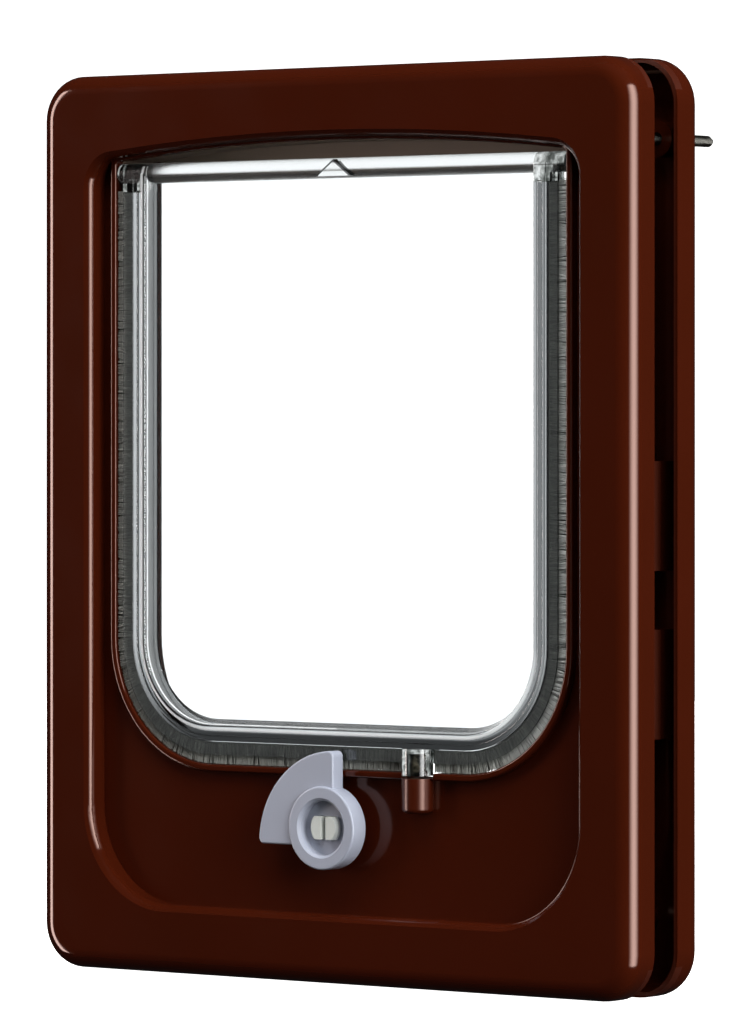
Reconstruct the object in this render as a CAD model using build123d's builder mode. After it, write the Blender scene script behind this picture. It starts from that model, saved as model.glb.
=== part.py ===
"""Cat flap for a door: two moulded frames, a clear flap on a hinge bar and a rotary lock.

The frame stands on its lower edges. X runs across the door, Z up, and Y from the front to the back.
Depths are measured from the front face of the front frame towards the back.
"""

import os
from math import atan, degrees, sqrt

from build123d import *

# Frames
frame_width = 198.0
frame_height = 240.0
frame_depth = 10.0
frame_corner_radius = 12.0
frame_edge_radius = 5.0
wall = 2.2
shell = 1.2
rear_frame_depth = 11.0
door_gap = 10.0

# Recess in the face of each frame
border_side = 17.7
border_head = 18.5
recess_bottom = 18.4
recess_depth = 6.5
recess_foot_radius = 26.0
recess_head_radius = 8.0
recess_lip_run = 1.8
recess_lip_drop = 1.4
recess_lip_radius = 2.6
arch_radius = 700.0

# Tunnel, which starts as a collar standing proud of the recess floor
tunnel_margin = 6.0
tunnel_bottom = 56.1
tunnel_foot_radius = 33.0
tunnel_head_radius = 1.2
tunnel_crown_drop = 0.7
tunnel_wall = 1.9
collar_height = 2.5
tunnel_reach = 8.0
collar_round = 0.6
fine = 0.01
sleeve_clearance = 0.4
sleeve_overlap = 4.0
lintel_drop = 5.7

# Flap
hinge_drop = 8.0
hinge_depth = 7.0
hinge_bar_radius = 2.7
hinge_stub_radius = 1.6
hinge_stub_length = 1.7
hinge_socket_depth = 1.3
hinge_clearance = 0.08
bar_end_clearance = 0.6
flap_edge_gap = 2.6
flange_front = 4.2
flange_thickness = 3.0
rib_front = 3.9
rib_inset = 3.7
rib_width = 3.9
rib_groove_width = 1.1
rib_groove_depth = 0.8
rib_round = 0.5
rib_slope = 1.7
pane_front = 7.6
pane_thickness = 2.0
corner_block_height = 7.7
arrow_width = 12.0
arrow_height = 4.4
arrow_proud = 0.9

# Brush strip held in a slot in the edge of the flap
pile_thickness = 1.8
pile_slot_depth = 3.6
pile_slot_clearance = 0.1
pile_tip_clearance = 0.3

# Magnet catch
magnet_across = 27.5
magnet_depth = 4.2
magnet_radius = 2.0
magnet_length = 5.6
magnet_clearance = 0.05
pocket_radius = 4.1
pocket_bottom = 55.4
catch_gap = 0.7
post_radius = 4.1
post_length = 9.0
post_foot_round = 1.2
channel_side_clearance = 1.0
channel_floor_clearance = 0.6
channel_thickness = 1.8

# Lock
lock_height = 41.0
ring_radius = 10.9
ring_front = -1.8
ring_back = 3.4
ring_hole_radius = 7.2
ring_hole_chamfer = 0.7
ring_edge_round = 0.5
knob_web_thickness = 2.2
blade_front = -0.8
blade_radius = 25.0
blade_offset_across = 3.3
blade_offset_down = 4.8
blade_corner_radius = 1.6
blade_edge_round = 0.5
drive_radius = 4.1
drive_height = 6.0
drive_clearance = 0.1
prong_slot = 1.6
prong_proud = 1.9
prong_barb = 0.6
prong_barb_length = 1.5
prong_lead = 0.7
spindle_radius = 4.2
spindle_clearance = 0.08
bearing_radius = 6.6
bearing_front = 3.7
bearing_back = 10.0
cam_clearance = 0.4
cam_thickness = 2.4
notch_margin = 0.4
notch_side_margin = 1.2
notch_height = 8.0

# Screws that clamp the door between the frames
screw_radius = 1.5
screw_head_radius = 2.8
screw_head_height = 1.8
screw_head_depth = 3.4
screw_tip = 50.0
screw_point_length = 1.2
screw_point_width = 0.7
screw_clearance = 0.05
screw_hole_clearance = 0.25
boss_radius = 4.8
rear_boss_height = 5.0
top_screw_inset = 11.0
top_screw_drop = 20.5
foot_screw_inset = 17.5
foot_screw_height = 20.5
nut_across_flats = 5.5
nut_thickness = 2.4
nut_clearance = 0.1

# Stiffening ribs inside the front frame, and fins inside the rear frame
rib_thickness = 1.5
rib_set_back = 0.6
side_rib_heights = (52.0, 101.0, 150.0, 190.0)
end_rib_places = (-54.0, -18.0, 18.0, 54.0)
fin_inset = 8.3
fin_thickness = 1.6
fin_spans = ((66.0, 94.0), (109.0, 137.0))

# Worked out from the sizes above
origin_depth = (screw_tip + ring_front) / 2
rear_rim = frame_depth + door_gap
rear_face = rear_rim + rear_frame_depth
recess_half_width = frame_width / 2 - border_side
recess_crown = frame_height - border_head
tunnel_half_width = recess_half_width - tunnel_margin
lintel_height = recess_crown - lintel_drop
hinge_height = recess_crown - hinge_drop
top_screw_across = frame_width / 2 - top_screw_inset
top_screw_height = frame_height - top_screw_drop
foot_screw_across = frame_width / 2 - foot_screw_inset
fin_across = frame_width / 2 - fin_inset
floor_back = recess_depth + wall
collar_front = recess_depth - collar_height
tunnel_end = frame_depth + tunnel_reach
tunnel_crown = recess_crown - tunnel_crown_drop
sleeve_start = tunnel_end - sleeve_overlap
sleeve_grow = tunnel_wall + sleeve_clearance
pane_back = pane_front + pane_thickness
flange_back = flange_front + flange_thickness
rib_inner = rib_inset + rib_width
block_bottom = hinge_height + hinge_bar_radius - corner_block_height
bar_half_length = tunnel_half_width - bar_end_clearance
pile_middle = flange_front + flange_thickness / 2
pile_front = pile_middle - pile_thickness / 2
slot_width = pile_thickness + 2 * pile_slot_clearance
post_top = pocket_bottom - catch_gap
channel_floor = pocket_bottom - channel_floor_clearance
channel_half_width = pocket_radius + channel_side_clearance
cam_front = bearing_back + cam_clearance
cam_back = cam_front + cam_thickness
web_front = ring_back - knob_web_thickness
prong_front = web_front - prong_proud
notch_front = cam_front - notch_margin
cam_reach = sqrt((blade_radius - blade_offset_across) ** 2 + blade_offset_down**2)
notch_left = -cam_reach - notch_side_margin
notch_right = magnet_across + channel_half_width
screw_places = [
    (-top_screw_across, top_screw_height),
    (top_screw_across, top_screw_height),
    (-foot_screw_across, foot_screw_height),
    (foot_screw_across, foot_screw_height),
]


def across(depth):
    """Plane parallel to the door at a depth, with sketch axes X and Z. Negative extrusions run to the back."""
    return Plane.XZ.offset(origin_depth - depth)


def arched_face(half_width, bottom, crown, foot_radius, head_radius):
    """Face with an arched head, straight sides and rounded feet."""
    side_top = crown - arch_radius + sqrt(arch_radius**2 - half_width**2)
    with BuildSketch() as outline:
        with BuildLine():
            head = ThreePointArc((-half_width, side_top), (0, crown), (half_width, side_top))
            Polyline(head @ 1, (half_width, bottom), (-half_width, bottom), head @ 0)
        make_face()
        fillet(outline.vertices().group_by(Axis.Y)[0], foot_radius)
        fillet(outline.vertices().group_by(Axis.Y)[-1], head_radius)
    return outline.sketch


def recess_face(grow=0.0):
    return arched_face(
        recess_half_width + grow,
        recess_bottom - grow,
        recess_crown + grow,
        recess_foot_radius + grow,
        recess_head_radius + grow,
    )


def tunnel_face(grow=0.0):
    return arched_face(
        tunnel_half_width + grow,
        tunnel_bottom - grow,
        tunnel_crown + grow,
        tunnel_foot_radius + grow,
        tunnel_head_radius + grow,
    )


def flap_face(inset, top):
    """Part of the flap within a distance of its edge, open towards the hinge."""
    half_width = tunnel_half_width - flap_edge_gap - inset
    bottom = tunnel_bottom + flap_edge_gap + inset
    with BuildSketch() as outline:
        with Locations((0, bottom)):
            Rectangle(2 * half_width, top - bottom, align=(Align.CENTER, Align.MIN))
        fillet(outline.vertices().group_by(Axis.Y)[0], tunnel_foot_radius - flap_edge_gap - inset)
    return outline.sketch


def blade_face(quarter_turn):
    """Quarter disc whose corner lies off the lock's axis, turned about that axis."""
    with BuildSketch() as outline:
        with BuildLine():
            corner = (blade_offset_across, -blade_offset_down)
            tip = (corner[0], corner[1] + blade_radius)
            heel = (corner[0] - blade_radius, corner[1])
            Line(corner, tip)
            RadiusArc(tip, heel, -blade_radius)
            Line(heel, corner)
        make_face()
        fillet(outline.vertices().sort_by_distance(corner)[1:], blade_corner_radius)
    return outline.sketch.rotate(Axis.Z, quarter_turn).translate((0, lock_height, 0))


def frame_block(rim_depth, face_depth):
    """Solid block of a frame, square at the rim that meets the door and rounded round its face."""
    face_end = 0 if face_depth < rim_depth else -1
    with BuildPart() as block:
        with BuildSketch(across(rim_depth)):
            with Locations((0, frame_height / 2)):
                RectangleRounded(frame_width, frame_height, frame_corner_radius)
        extrude(amount=rim_depth - face_depth)
        fillet(block.faces().sort_by(Axis.Y)[face_end].edges(), frame_edge_radius)
    return block.part


def hollow_frame(rim_depth, face_depth):
    """Frame's block hollowed out from its rim."""
    rim_end = -1 if face_depth < rim_depth else 0
    with BuildPart() as hollow:
        add(frame_block(rim_depth, face_depth))
        offset(amount=-shell, openings=hollow.faces().sort_by(Axis.Y)[rim_end])
    return hollow.part


def front_ribs():
    """Stiffening ribs between the outer wall of the front frame and the wall of its recess."""
    side_middle = (frame_width / 2 + recess_half_width) / 2
    side_length = frame_width / 2 - recess_half_width
    head_length = frame_height - recess_crown
    with BuildPart() as ribs:
        with BuildSketch(across(0)):
            for height in side_rib_heights:
                with Locations((-side_middle, height), (side_middle, height)):
                    Rectangle(side_length, rib_thickness)
            for place in end_rib_places:
                with Locations((place, 0)):
                    Rectangle(rib_thickness, recess_bottom, align=(Align.CENTER, Align.MIN))
                with Locations((place, recess_crown)):
                    Rectangle(rib_thickness, head_length, align=(Align.CENTER, Align.MIN))
        extrude(amount=rib_set_back - frame_depth)
        add(frame_block(frame_depth, 0), mode=Mode.INTERSECT)
    return ribs.part


os.makedirs("parts", exist_ok=True)

# Post under the flap's magnet pocket, rounded at its foot
with BuildPart() as magnet_post:
    with BuildSketch(Plane.XY.offset(post_top)):
        with Locations((magnet_across, magnet_depth - origin_depth)):
            Circle(post_radius)
    extrude(amount=-post_length)
    fillet(magnet_post.faces().sort_by(Axis.Z)[0].edges(), post_foot_round)

# Front frame: border, recess, collar and tunnel in one moulding
with BuildPart() as front_frame:
    add(hollow_frame(frame_depth, 0))
    with BuildSketch(across(shell / 2)):
        add(recess_face(wall))
    extrude(amount=-(floor_back - shell / 2))
    add(front_ribs())
    with BuildSketch(across(shell / 2)):
        with Locations(*screw_places):
            Circle(boss_radius)
    extrude(amount=-(frame_depth - shell / 2))
    with BuildSketch(across(0)):
        add(recess_face())
    extrude(amount=-recess_depth, mode=Mode.SUBTRACT)
    face = front_frame.faces().sort_by(Axis.Y)[0]
    chamfer(face.inner_wires()[0].edges(), recess_lip_run, recess_lip_drop, reference=face)
    lip_y = recess_lip_drop - origin_depth
    fillet(front_frame.edges().filter_by_position(Axis.Y, lip_y - fine, lip_y + fine), recess_lip_radius)
    with BuildSketch(across(collar_front)):
        add(tunnel_face(tunnel_wall))
    extrude(amount=-(tunnel_end - collar_front))
    with BuildSketch(across(bearing_front)):
        with Locations((0, lock_height)):
            Circle(bearing_radius)
    extrude(amount=-(bearing_back - bearing_front))
    # Thicker floor under the channel that the flap's magnet pocket swings through
    with BuildSketch(across(recess_depth)):
        with Locations((magnet_across, channel_floor)):
            Rectangle(
                2 * (channel_half_width + channel_thickness),
                channel_thickness,
                align=(Align.CENTER, Align.MAX),
            )
    extrude(amount=-(notch_front - recess_depth))
    with BuildSketch(across(0)):
        add(tunnel_face())
    extrude(amount=-tunnel_end, mode=Mode.SUBTRACT)
    collar_y = collar_front - origin_depth
    below_hinge = front_frame.edges().filter_by_position(Axis.Z, 0, block_bottom)
    fillet(below_hinge.filter_by_position(Axis.Y, collar_y - fine, collar_y + fine), collar_round)
    with BuildSketch(across(0)):
        with Locations((magnet_across, channel_floor)):
            Rectangle(
                2 * channel_half_width,
                tunnel_bottom + tunnel_wall - channel_floor,
                align=(Align.CENTER, Align.MIN),
            )
    extrude(amount=-tunnel_end, mode=Mode.SUBTRACT)
    # Post with the frame's magnet
    add(magnet_post.part)
    with BuildSketch(Plane.XY.offset(post_top)):
        with Locations((magnet_across, magnet_depth - origin_depth)):
            Circle(magnet_radius + magnet_clearance)
    extrude(amount=-magnet_length, mode=Mode.SUBTRACT)
    # Sockets for the hinge stubs
    with BuildSketch(Plane.YZ):
        with Locations((hinge_depth - origin_depth, hinge_height)):
            Circle(hinge_stub_radius + hinge_clearance)
    extrude(amount=tunnel_half_width + hinge_socket_depth, both=True, mode=Mode.SUBTRACT)
    # Bearing for the lock's spindle
    with BuildSketch(across(bearing_front)):
        with Locations((0, lock_height)):
            Circle(spindle_radius + spindle_clearance)
    extrude(amount=-(bearing_back - bearing_front), mode=Mode.SUBTRACT)
    # Notch in the tunnel floor for the cam and for the magnet pocket, open at its end
    with BuildSketch(across(notch_front)):
        with Locations((notch_left, tunnel_bottom)):
            Rectangle(notch_right - notch_left, notch_height, align=(Align.MIN, Align.CENTER))
    extrude(amount=-(tunnel_end - notch_front), mode=Mode.SUBTRACT)
    # Moulded-in seats of the screws
    with BuildSketch(across(screw_head_depth)):
        with Locations(*screw_places):
            Circle(screw_head_radius + screw_clearance)
    extrude(amount=-screw_head_height, mode=Mode.SUBTRACT)
    with BuildSketch(across(screw_head_depth)):
        with Locations(*screw_places):
            Circle(screw_radius + screw_clearance)
    extrude(amount=-(frame_depth - screw_head_depth), mode=Mode.SUBTRACT)

# Rear frame: the same border and recess, with a sleeve over the tunnel and a lintel above the passage
with BuildPart() as rear_frame:
    add(hollow_frame(rear_rim, rear_face))
    with BuildSketch(across(rear_face - floor_back)):
        add(recess_face(wall))
    extrude(amount=-(floor_back - shell / 2))
    with BuildSketch(across(rear_face - rear_boss_height)):
        with Locations(*screw_places):
            Circle(boss_radius)
    extrude(amount=shell / 2 - rear_boss_height)
    # Fins beside the side walls, level with the rim
    with BuildSketch(across(rear_rim)):
        for low, high in fin_spans:
            with Locations((-fin_across, low), (fin_across, low)):
                Rectangle(fin_thickness, high - low, align=(Align.CENTER, Align.MIN))
    extrude(amount=shell / 2 - rear_frame_depth)
    with BuildSketch(across(rear_face)):
        add(recess_face())
    extrude(amount=recess_depth, mode=Mode.SUBTRACT)
    face = rear_frame.faces().sort_by(Axis.Y)[-1]
    chamfer(face.inner_wires()[0].edges(), recess_lip_run, recess_lip_drop, reference=face)
    lip_y = rear_face - recess_lip_drop - origin_depth
    fillet(rear_frame.edges().filter_by_position(Axis.Y, lip_y - fine, lip_y + fine), recess_lip_radius)
    with BuildSketch(across(sleeve_start)):
        add(tunnel_face(sleeve_grow + tunnel_wall))
        add(tunnel_face(sleeve_grow), mode=Mode.SUBTRACT)
    extrude(amount=-(rear_face - recess_depth + collar_height - sleeve_start))
    with BuildSketch(across(sleeve_start)):
        add(tunnel_face(sleeve_grow))
        with Locations((0, lintel_height)):
            Rectangle(frame_width, frame_height, align=(Align.CENTER, Align.MIN), mode=Mode.SUBTRACT)
    extrude(amount=-(rear_face - sleeve_start), mode=Mode.SUBTRACT)
    with BuildSketch(across(rear_rim)):
        with Locations(*screw_places):
            Circle(screw_radius + screw_hole_clearance)
    extrude(amount=-rear_frame_depth, mode=Mode.SUBTRACT)
    with BuildSketch(across(rear_face)):
        with Locations(*screw_places):
            RegularPolygon(nut_across_flats / 2 + nut_clearance, 6, major_radius=False)
    extrude(amount=nut_thickness, mode=Mode.SUBTRACT)

# Flap: pane, double rib, slotted edge, hinge bar and magnet pocket in one clear moulding
with BuildPart() as flap:
    with BuildSketch(across(flange_front)):
        add(flap_face(0, hinge_height))
    extrude(amount=-flange_thickness)
    with BuildSketch(across(rib_front)):
        add(flap_face(rib_inset, hinge_height))
    extrude(amount=-(pane_back - rib_front))
    with BuildSketch(across(rib_front)):
        add(flap_face(rib_inner, hinge_height + rib_slope))
    slope_angle = degrees(atan(rib_slope / (pane_front - rib_front)))
    extrude(amount=-(pane_front - rib_front), taper=slope_angle, mode=Mode.SUBTRACT)
    rib_y = rib_front - origin_depth
    fillet(flap.edges(Select.LAST).filter_by_position(Axis.Y, rib_y - fine, rib_y + fine), rib_round)
    groove_inset = rib_inset + (rib_width - rib_groove_width) / 2
    with BuildSketch(across(rib_front)):
        add(flap_face(groove_inset, block_bottom))
        add(flap_face(groove_inset + rib_groove_width, block_bottom), mode=Mode.SUBTRACT)
    extrude(amount=-rib_groove_depth, mode=Mode.SUBTRACT)
    fillet(flap.edges(Select.LAST).filter_by_position(Axis.Y, rib_y - fine, rib_y + fine), rib_round)
    with BuildSketch(across(pile_middle - slot_width / 2)):
        add(flap_face(0, block_bottom))
        add(flap_face(pile_slot_depth, block_bottom), mode=Mode.SUBTRACT)
    extrude(amount=-slot_width, mode=Mode.SUBTRACT)
    with BuildSketch(Plane.XY.offset(pocket_bottom)):
        with Locations((magnet_across, magnet_depth - origin_depth)):
            Circle(pocket_radius)
    extrude(amount=tunnel_bottom + flap_edge_gap + rib_inset - pocket_bottom)
    with BuildSketch(Plane.XY.offset(pocket_bottom)):
        with Locations((magnet_across, magnet_depth - origin_depth)):
            Circle(magnet_radius + magnet_clearance)
    extrude(amount=magnet_length, mode=Mode.SUBTRACT)
    with BuildSketch(Plane.YZ):
        with Locations((hinge_depth - origin_depth, hinge_height)):
            Circle(hinge_bar_radius)
    extrude(amount=bar_half_length, both=True)
    with BuildSketch(Plane.YZ):
        with Locations((hinge_depth - origin_depth, hinge_height)):
            Circle(hinge_stub_radius)
    extrude(amount=bar_half_length + hinge_stub_length, both=True)
    with BuildSketch(across(hinge_depth - hinge_bar_radius - arrow_proud)):
        with Locations((0, hinge_height)):
            Polygon(
                (-arrow_width / 2, -arrow_height / 2),
                (arrow_width / 2, -arrow_height / 2),
                (0, arrow_height / 2),
            )
    extrude(amount=-(hinge_bar_radius + arrow_proud))

# Brush strip, parted by the magnet pocket
with BuildPart() as pile_strip:
    with BuildSketch(across(pile_front)):
        add(flap_face(pile_tip_clearance - flap_edge_gap, block_bottom))
        add(flap_face(pile_slot_depth - pile_slot_clearance, block_bottom), mode=Mode.SUBTRACT)
        with Locations((magnet_across, tunnel_bottom)):
            Rectangle(
                2 * (pocket_radius + pile_tip_clearance),
                flap_edge_gap + pile_slot_depth,
                align=(Align.CENTER, Align.MIN),
                mode=Mode.SUBTRACT,
            )
    extrude(amount=-pile_thickness)
pile_strips = pile_strip.solids().sort_by(SortBy.VOLUME)

# Lock knob: ring, web that snaps onto the spindle, and blade
with BuildPart() as lock_knob:
    with BuildSketch(across(blade_front)):
        add(blade_face(0))
    extrude(amount=-(ring_back - blade_front))
    fillet(lock_knob.faces().sort_by(Axis.Y)[0].edges(), blade_edge_round)
    with BuildSketch(across(ring_front)):
        with Locations((0, lock_height)):
            Circle(ring_radius)
    extrude(amount=-(ring_back - ring_front))
    fillet(lock_knob.faces().sort_by(Axis.Y)[0].edges(), ring_edge_round)
    with BuildSketch(across(ring_front)):
        with Locations((0, lock_height)):
            Circle(ring_hole_radius)
    extrude(amount=-(web_front - ring_front), mode=Mode.SUBTRACT)
    face = lock_knob.faces().sort_by(Axis.Y)[0]
    chamfer(face.inner_wires()[0].edges(), ring_hole_chamfer)
    with BuildSketch(across(web_front)):
        with Locations((0, lock_height)):
            Circle(drive_radius + drive_clearance)
            Rectangle(ring_radius, drive_height + 2 * drive_clearance, mode=Mode.INTERSECT)
    extrude(amount=-knob_web_thickness, mode=Mode.SUBTRACT)

# Lock spindle: split prongs, journal and the cam behind the flap
with BuildPart() as lock_spindle:
    with BuildSketch(across(prong_front)):
        with Locations((0, lock_height)):
            Circle(drive_radius + prong_barb)
    extrude(amount=-prong_barb_length)
    chamfer(lock_spindle.faces().sort_by(Axis.Y)[0].edges(), prong_lead)
    with BuildSketch(across(prong_front + prong_barb_length)):
        with Locations((0, lock_height)):
            Circle(drive_radius)
    extrude(amount=-(bearing_front - prong_front - prong_barb_length))
    with BuildSketch(across(prong_front)):
        with Locations((0, lock_height)):
            Rectangle(ring_radius, drive_height)
    extrude(amount=-(bearing_front - prong_front), mode=Mode.INTERSECT)
    with BuildSketch(across(prong_front)):
        with Locations((0, lock_height)):
            Rectangle(prong_slot, drive_height)
    extrude(amount=-(ring_back - prong_front), mode=Mode.SUBTRACT)
    with BuildSketch(across(bearing_front)):
        with Locations((0, lock_height)):
            Circle(spindle_radius)
    extrude(amount=-(cam_back - bearing_front))
    with BuildSketch(across(cam_front)):
        add(blade_face(90))
        with Locations((0, lock_height)):
            Circle(bearing_radius)
    extrude(amount=-cam_thickness)

with BuildPart() as flap_magnet:
    with BuildSketch(Plane.XY.offset(pocket_bottom)):
        with Locations((magnet_across, magnet_depth - origin_depth)):
            Circle(magnet_radius)
    extrude(amount=magnet_length)

with BuildPart() as post_magnet:
    with BuildSketch(Plane.XY.offset(post_top)):
        with Locations((magnet_across, magnet_depth - origin_depth)):
            Circle(magnet_radius)
    extrude(amount=-magnet_length)

# Screws with their heads moulded into the front frame, and their nuts in the rear frame
with BuildPart() as screws:
    with BuildSketch(across(screw_head_depth)):
        with Locations(*screw_places):
            Circle(screw_head_radius)
    extrude(amount=-screw_head_height)
    with BuildSketch(across(screw_head_depth)):
        with Locations(*screw_places):
            Circle(screw_radius)
    extrude(amount=-(screw_tip - screw_head_depth))
    chamfer(screws.edges().group_by(Axis.Y)[-1], screw_point_length, screw_point_width)

with BuildPart() as nuts:
    with BuildSketch(across(rear_face)):
        with Locations(*screw_places):
            RegularPolygon(nut_across_flats / 2, 6, major_radius=False)
        with Locations(*screw_places):
            Circle(screw_radius + screw_clearance, mode=Mode.SUBTRACT)
    extrude(amount=nut_thickness)

pieces = {
    "front_frame": front_frame.part,
    "rear_frame": rear_frame.part,
    "flap": flap.part,
    "pile_strip_short": Part() + pile_strips[0],
    "pile_strip_long": Part() + pile_strips[1],
    "lock_knob": lock_knob.part,
    "lock_spindle": lock_spindle.part,
    "flap_magnet": flap_magnet.part,
    "post_magnet": post_magnet.part,
    "screws": screws.part,
    "nuts": nuts.part,
}
for name, piece in pieces.items():
    piece.label = name
    export_step(piece, f"parts/{name}.step")
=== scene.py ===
"""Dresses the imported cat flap: mouldings, clear flap, brush strips, threaded screws, light and camera."""

import math

import bpy
from mathutils import Euler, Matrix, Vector


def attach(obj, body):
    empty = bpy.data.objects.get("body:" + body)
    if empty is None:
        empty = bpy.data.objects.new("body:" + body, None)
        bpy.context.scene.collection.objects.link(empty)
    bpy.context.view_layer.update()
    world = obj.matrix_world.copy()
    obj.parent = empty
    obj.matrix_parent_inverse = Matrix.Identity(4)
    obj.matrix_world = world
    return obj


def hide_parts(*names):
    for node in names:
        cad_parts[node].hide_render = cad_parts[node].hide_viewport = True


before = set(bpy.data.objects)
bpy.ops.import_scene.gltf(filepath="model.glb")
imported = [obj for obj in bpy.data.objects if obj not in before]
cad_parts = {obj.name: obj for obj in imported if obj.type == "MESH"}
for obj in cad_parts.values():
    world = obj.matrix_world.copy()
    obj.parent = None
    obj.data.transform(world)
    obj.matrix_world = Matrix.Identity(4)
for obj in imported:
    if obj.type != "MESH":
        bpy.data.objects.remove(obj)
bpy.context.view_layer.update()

MM = 0.001
ORIGIN_DEPTH = 24.1  # mm from the front face back to the row's origin

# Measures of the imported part, in mm: places across are from the middle, depths are behind the front face
# and heights are above the foot
FRAME_HALF_WIDTH = 99.0
FRAME_HEIGHT = 240.0
HALF_SHELL = 0.6
FRONT_PLATE_BACK = 8.7
REAR_PLATE_FRONT = 22.3
PANE_HALF_WIDTH = 65.1
PANE_BOTTOM = 66.3
PANE_FOOT_RADIUS = 22.8
RIB_WIDTH = 4.0
# Painted white highlight lines on the inner ridge: mm from the pane's outline, and half the line's width
RIB_CROWN = (0.9, 0.4)
RIB_SLOPE_LINE = (-0.45, 0.11)
RIB_ROUND_BACK = 5.0
RIB_GREY = "#7a7d7f"
RIB_PAINTED_SHADE = "#333536"
RIB_PAINTED_HIGHLIGHT = "#dce0e1"
# Painted lines of light and shade, for the light caught in the rib's thickness: the share of the way across
# it from the pane, and the shade
RIGHT_RIB_PAINTED_LINES = (
    (0.0, RIB_GREY),
    (0.2, RIB_GREY),
    (0.28, RIB_PAINTED_SHADE),
    (0.48, RIB_PAINTED_SHADE),
    (0.64, RIB_GREY),
    (0.74, RIB_GREY),
    (0.82, RIB_PAINTED_HIGHLIGHT),
    (0.92, RIB_PAINTED_HIGHLIGHT),
    (1.0, RIB_GREY),
)
FOOT_RIB_PAINTED_LINES = (
    (0.0, RIB_GREY),
    (0.15, RIB_PAINTED_HIGHLIGHT),
    (0.33, RIB_GREY),
    (0.45, RIB_PAINTED_SHADE),
    (1.0, RIB_PAINTED_SHADE),
)
HINGE_FOOT = 208.3
HINGE_BAR_BOTTOM = 210.8
HINGE_HEIGHT = 213.5
ARROW_HALF_WIDTH = 6.0
ARROW_HALF_HEIGHT = 2.2
ARROW_EDGE = 0.6  # mm above and below the arrow's edge that look dark
CATCH_ACROSS = 27.5
CATCH_HALF_WIDTH = 5.2
CATCH_TOP = 62.3
CATCH_BOTTOM = 44.0
RECESS_FLOOR = 6.5
RECESS_MARGIN = 0.2
LINTEL_HALF_WIDTH = 75.0
LINTEL_BOTTOM = 215.0
LINTEL_TOP = 222.0
LINTEL_BACK = 22.9
FLAP_HALF_WIDTH = 72.7
FLAP_BOTTOM = 58.7
FLAP_FOOT_RADIUS = 30.4

POST_ROUGHNESS = 0.3
DOOR_SIDE_ROUGHNESS = 0.5
RIB_HAZE = 0.06
HINGE_HAZE = 0.2
# The painted white highlight on the ridge is opaque in part
CROWN_COVER = 0.7  # share of the clear plastic that the white crown hides
PALE_TIPS_START = 48.0  # mm to the right of the middle, where the bristle tips start to turn pale


def at(across, depth, height):
    """Point in the row frame, in metres, from mm across, behind the front face and above the foot."""
    return Vector((across * MM, (depth - ORIGIN_DEPTH) * MM, height * MM))


def link_mesh(name, mesh):
    piece = bpy.data.objects.new(name, mesh)
    bpy.context.scene.collection.objects.link(piece)
    return piece


# Materials


def hex_colour(code):
    """Linear colour of an sRGB hex value."""
    channels = [int(code[i : i + 2], 16) / 255 for i in (1, 3, 5)]
    return (*[c / 12.92 if c <= 0.04045 else ((c + 0.055) / 1.055) ** 2.4 for c in channels], 1.0)


def add_node(tree, kind, settings=None, inputs=None):
    """Adds a node with its settings. An input takes a constant, or the socket it is linked from."""
    node = tree.nodes.new(kind)
    for name, value in (settings or {}).items():
        setattr(node, name, value)
    for key, value in (inputs or {}).items():
        if isinstance(value, bpy.types.NodeSocket):
            tree.links.new(value, node.inputs[key])
        else:
            node.inputs[key].default_value = value
    return node


def per_mm(size):
    """Texture scale, in cycles per metre, of a pattern whose repeat is a size in mm."""
    return 1.0 / (size * MM)


def new_material(name):
    """Material with an empty tree, and the Object coordinates its patterns read."""
    material = bpy.data.materials.new(name)
    material.use_nodes = True
    tree = material.node_tree
    tree.nodes.clear()
    coords = add_node(tree, "ShaderNodeTexCoord").outputs["Object"]
    return material, tree, coords


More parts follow.
